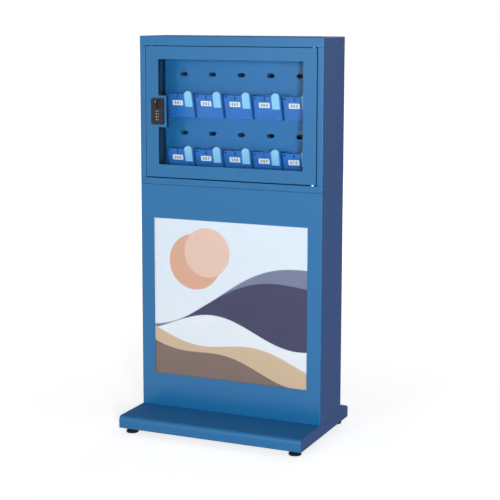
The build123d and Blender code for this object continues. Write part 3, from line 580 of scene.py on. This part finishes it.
finishes = {
    "blue_paint": paint,
    "zinc_steel": zinc,
    "brass": turned_brass(),
    "black_plastic": black,
    "black_rubber": black_rubber,
    "pocket_blue": pocket_finish,
    "light_insert": insert_plastic(),
    "white_plate": plate_plastic(),
    "poster_print": poster_print(),
    "white_board": foamed_board(),
    "clear_acrylic": clear_pane("clear_acrylic", (0.985, 0.990, 0.995)),
    "glass": clear_pane("door_glass", (0.970, 0.985, 0.985)),
}

node_slots = {row["node"]: row["material_slot"] for row in frame["record"]["subparts"]}
for node, piece in frame["nodes"].items():
    piece.data.materials.clear()
    # The pocket panel takes the brighter copy of the paint: painted light.
    finish = brightened_panel_paint if node == "pocket_panel" else finishes[node_slots[node]]
    piece.data.materials.append(finish)


# ================================================================ added pieces
def add_piece(name, mesh, body, material):
    """New piece from a bmesh, riding on a body of the frame."""
    data = bpy.data.meshes.new(name)
    mesh.to_mesh(data)
    mesh.free()
    data.materials.append(material)
    for face in data.polygons:
        face.use_smooth = False
    piece = bpy.data.objects.new(name, data)
    bpy.context.scene.collection.objects.link(piece)
    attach(piece, body)
    return piece


def text_mesh(text, height, width_share, relief, weight, spacing):
    """Raised digits in the XY plane, centred on the origin, facing +Z."""
    curve = bpy.data.curves.new("digits", "FONT")
    curve.body = text
    curve.align_x = "CENTER"
    curve.size = height
    curve.space_character = spacing
    curve.extrude = relief / 2
    curve.offset = weight
    curve.resolution_u = digit_curve_steps
    holder = bpy.data.objects.new("digits", curve)
    bpy.context.scene.collection.objects.link(holder)
    bpy.context.view_layer.update()
    data = bpy.data.meshes.new_from_object(holder.evaluated_get(bpy.context.evaluated_depsgraph_get()))
    bpy.data.objects.remove(holder)
    mesh = bmesh.new()
    mesh.from_mesh(data)
    bpy.data.meshes.remove(data)
    bmesh.ops.remove_doubles(mesh, verts=mesh.verts, dist=relief * digit_weld_share)
    low = Vector([min(v.co[k] for v in mesh.verts) for k in range(3)])
    high = Vector([max(v.co[k] for v in mesh.verts) for k in range(3)])
    size = high - low
    scale = height / size.y
    bmesh.ops.translate(mesh, verts=mesh.verts, vec=-(low + high) / 2)
    bmesh.ops.scale(mesh, verts=mesh.verts, vec=(scale * width_share, scale, 1.0))
    return mesh


def merge(target, source, matrix):
    """Move source by a matrix into target."""
    source.transform(matrix)
    data = bpy.data.meshes.new("merge")
    source.to_mesh(data)
    source.free()
    target.from_mesh(data)
    bpy.data.meshes.remove(data)


def facing(origin, across, up):
    """Matrix that puts XY artwork on a face, with Z out of it."""
    across, up = across.normalized(), up.normalized()
    out = across.cross(up)
    matrix = Matrix((across, up, out)).transposed().to_4x4()
    matrix.translation = origin
    return matrix


def plate_digits():
    """The numbers from 001 on the pockets' plates."""
    up_slope = Vector((0, pocket_bottom_depth - pocket_top_depth, pocket_height)).normalized()
    across = Vector((1, 0, 0))
    for number_shown in range(1, pocket_count + 1):
        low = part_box(f"phone_pocket_{number_shown:02d}")[0]
        foot = Vector((low.x + pocket_wing, panel_front - pocket_bottom_depth, low.z))
        middle = foot + across * plate_offset + up_slope * plate_rise
        middle += across.cross(up_slope) * (plate_thickness + plate_digit_relief / 2)
        sizes = (plate_digit_height, plate_digit_width, plate_digit_relief, plate_digit_weight)
        mesh = text_mesh(f"{number_shown:03d}", *sizes, plate_digit_spacing)
        mesh.transform(facing(middle, across, up_slope))
        add_piece(f"plate_number_{number_shown:02d}", mesh, "locker", black_ink)


def wheel_digits(wheel):
    """The ten digits round one wheel, 0 in front at rest."""
    low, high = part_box(f"number_wheel_{wheel}")
    middle = (low + high) / 2
    facet_distance = (high.y - low.y) / 2
    ring = bmesh.new()
    for digit in range(wheel_facets):
        turn = math.tau * digit / wheel_facets
        out = Vector((math.sin(turn), -math.cos(turn), 0))
        across = Vector((math.cos(turn), math.sin(turn), 0))
        place = middle + out * (facet_distance + wheel_digit_relief / 2)
        sizes = (wheel_digit_height, wheel_digit_width, wheel_digit_relief, wheel_digit_weight)
        mesh = text_mesh(str(digit), *sizes, wheel_digit_spacing)
        merge(ring, mesh, facing(place, across, Vector((0, 0, 1))))
    add_piece(f"wheel_{wheel}_digits", ring, f"wheel_{wheel}", white_ink)


def knob_pointer():
    """Short white line on the upper end of the knob's grip."""
    low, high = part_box("lock_knob")
    size = Vector((pointer_width, pointer_relief, pointer_length))
    middle = Vector(((low.x + high.x) / 2, low.y - pointer_relief / 2, high.z - pointer_length))
    mesh = bmesh.new()
    bmesh.ops.create_cube(mesh, size=1.0)
    bmesh.ops.scale(mesh, verts=mesh.verts, vec=size)
    bmesh.ops.bevel(mesh, geom=mesh.edges, offset=pointer_bevel, segments=1, affect="EDGES")
    bmesh.ops.translate(mesh, verts=mesh.verts, vec=middle)
    add_piece("knob_pointer", mesh, "knob", white_ink)


def poster_face():
    """The poster itself, lying on its board just behind the clear cover."""
    low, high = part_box("poster_sheet")
    low.y += poster_air
    mesh = bmesh.new()
    bmesh.ops.create_cube(mesh, size=1.0)
    bmesh.ops.scale(mesh, verts=mesh.verts, vec=high - low)
    bmesh.ops.translate(mesh, verts=mesh.verts, vec=(low + high) / 2)
    piece = add_piece("poster_face", mesh, "locker", finishes["poster_print"])
    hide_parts("poster_sheet")


plate_digits()
for wheel in range(1, wheel_count + 1):
    wheel_digits(wheel)
knob_pointer()
poster_face()


# ================================================================ studio
def direct_rays(tree):
    """Masks of the rays that show a thing, straight or through glass, and of those that mirror it."""
    path = tree.nodes.new("ShaderNodeLightPath")
    unscattered = number(tree, "LESS_THAN", path.outputs["Diffuse Depth"], unscattered_limit)
    through = number(tree, "MULTIPLY", path.outputs["Is Transmission Ray"], unscattered)
    seen = number(tree, "MAXIMUM", path.outputs["Is Camera Ray"], through)
    turned_back = number(tree, "SUBTRACT", unscattered, through)
    mirroring = number(tree, "MULTIPLY", path.outputs["Is Glossy Ray"], turned_back)
    return seen, mirroring


def studio_floor():
    """Pale floor that keeps the locker's shadow and is white where it is lit."""
    mesh = bmesh.new()
    bmesh.ops.create_grid(mesh, x_segments=1, y_segments=1, size=floor_reach)
    data = bpy.data.meshes.new("studio_floor")
    mesh.to_mesh(data)
    mesh.free()
    floor = bpy.data.objects.new("studio_floor", data)
    bpy.context.scene.collection.objects.link(floor)
    material = bpy.data.materials.new("studio_floor")
    material.use_nodes = True
    tree = material.node_tree
    tree.nodes.clear()
    output = tree.nodes.new("ShaderNodeOutputMaterial")
    matt = tree.nodes.new("ShaderNodeBsdfDiffuse")
    matt.inputs[0].default_value = (*floor_white, 1.0)
    place = tree.nodes.new("ShaderNodeTexCoord").outputs["Object"]
    away = tree.nodes.new("ShaderNodeVectorMath")
    away.operation = "LENGTH"
    tree.links.new(place, away.inputs[0])
    rise = (floor_rise_gain, floor_rise_offset)
    brightening = number(tree, "MULTIPLY_ADD", away.outputs["Value"], *rise, clamp=True)
    seen_glow = number(tree, "ADD", number(tree, "MULTIPLY", brightening, 1.0 - floor_glow), floor_glow)
    parts = tree.nodes.new("ShaderNodeSeparateXYZ")
    tree.links.new(place, parts.inputs[0])
    front = (floor_front_gain, floor_front_offset)
    forward = number(tree, "MULTIPLY_ADD", parts.outputs["Y"], *front, clamp=True)
    mirrored = blend_colour(tree, forward, world_behind, world_front)
    seen, mirroring = direct_rays(tree)
    glow = tree.nodes.new("ShaderNodeEmission")
    glow.inputs[0].default_value = (1.0, 1.0, 1.0, 1.0)
    tree.links.new(number(tree, "MULTIPLY", seen, seen_glow), glow.inputs[1])
    both = tree.nodes.new("ShaderNodeAddShader")
    tree.links.new(matt.outputs[0], both.inputs[0])
    tree.links.new(glow.outputs[0], both.inputs[1])
    mirror_glow = tree.nodes.new("ShaderNodeEmission")
    tree.links.new(mirrored, mirror_glow.inputs[0])
    either = tree.nodes.new("ShaderNodeMixShader")
    tree.links.new(mirroring, either.inputs[0])
    tree.links.new(both.outputs[0], either.inputs[1])
    tree.links.new(mirror_glow.outputs[0], either.inputs[2])
    tree.links.new(either.outputs[0], output.inputs["Surface"])
    data.materials.append(material)


def studio_world():
    """White to the eye, brighter in front than behind in reflections, and dim as a source of light."""
    world = bpy.data.worlds.new("studio")
    bpy.context.scene.world = world
    world.use_nodes = True
    tree = world.node_tree
    tree.nodes.clear()
    output = tree.nodes.new("ShaderNodeOutputWorld")
    backdrop = tree.nodes.new("ShaderNodeBackground")
    mirror_side = tree.nodes.new("ShaderNodeBackground")
    parts = tree.nodes.new("ShaderNodeSeparateXYZ")
    tree.links.new(tree.nodes.new("ShaderNodeTexCoord").outputs["Generated"], parts.inputs[0])
    front = (world_front_gain, world_front_offset)
    forward = number(tree, "MULTIPLY_ADD", parts.outputs["Y"], *front, clamp=True)
    mirrored = blend_colour(tree, forward, world_behind, world_front)
    tree.links.new(mirrored, mirror_side.inputs["Color"])
    seen, mirroring = direct_rays(tree)
    tree.links.new(number(tree, "MAXIMUM", seen, world_light), backdrop.inputs["Strength"])
    backdrop.inputs["Color"].default_value = (1.0, 1.0, 1.0, 1.0)
    either = tree.nodes.new("ShaderNodeMixShader")
    tree.links.new(mirroring, either.inputs[0])
    tree.links.new(backdrop.outputs[0], either.inputs[1])
    tree.links.new(mirror_side.outputs[0], either.inputs[2])
    tree.links.new(either.outputs[0], output.inputs["Surface"])


def softbox(name, azimuth, distance, height, aim_height, width, tall, power):
    """Soft lamp at a height, aimed at the locker's axis; azimuth 0 is straight in front."""
    turn = math.radians(azimuth)
    place = Vector((math.sin(turn) * distance, -math.cos(turn) * distance, height))
    lamp = bpy.data.lights.new(name, "AREA")
    lamp.shape = "RECTANGLE"
    lamp.size = width
    lamp.size_y = tall
    lamp.energy = power
    holder = bpy.data.objects.new(name, lamp)
    holder.location = place
    holder.rotation_mode = "QUATERNION"
    holder.rotation_quaternion = (Vector((0, 0, aim_height)) - place).to_track_quat("-Z", "Y")
    bpy.context.scene.collection.objects.link(holder)


def studio_camera():
    """Camera at the photograph's place, from the right and a little above the middle."""
    lens = bpy.data.cameras.new("camera")
    lens.sensor_width = camera_sensor
    lens.lens = camera_lens
    lens.shift_y = camera_shift
    holder = bpy.data.objects.new("camera", lens)
    holder.location = camera_place
    holder.rotation_mode = "QUATERNION"
    level = math.cos(camera_drop)
    aim = Vector((-math.sin(camera_turn) * level, math.cos(camera_turn) * level, -math.sin(camera_drop)))
    roll = Matrix.Rotation(camera_roll, 3, "Z").to_quaternion()
    holder.rotation_quaternion = aim.to_track_quat("-Z", "Y") @ roll
    bpy.context.scene.collection.objects.link(holder)
    bpy.context.scene.camera = holder


studio_floor()
studio_world()
for lamp in lamps:
    softbox(*lamp)
studio_camera()
bpy.context.scene.view_settings.view_transform = "Standard"
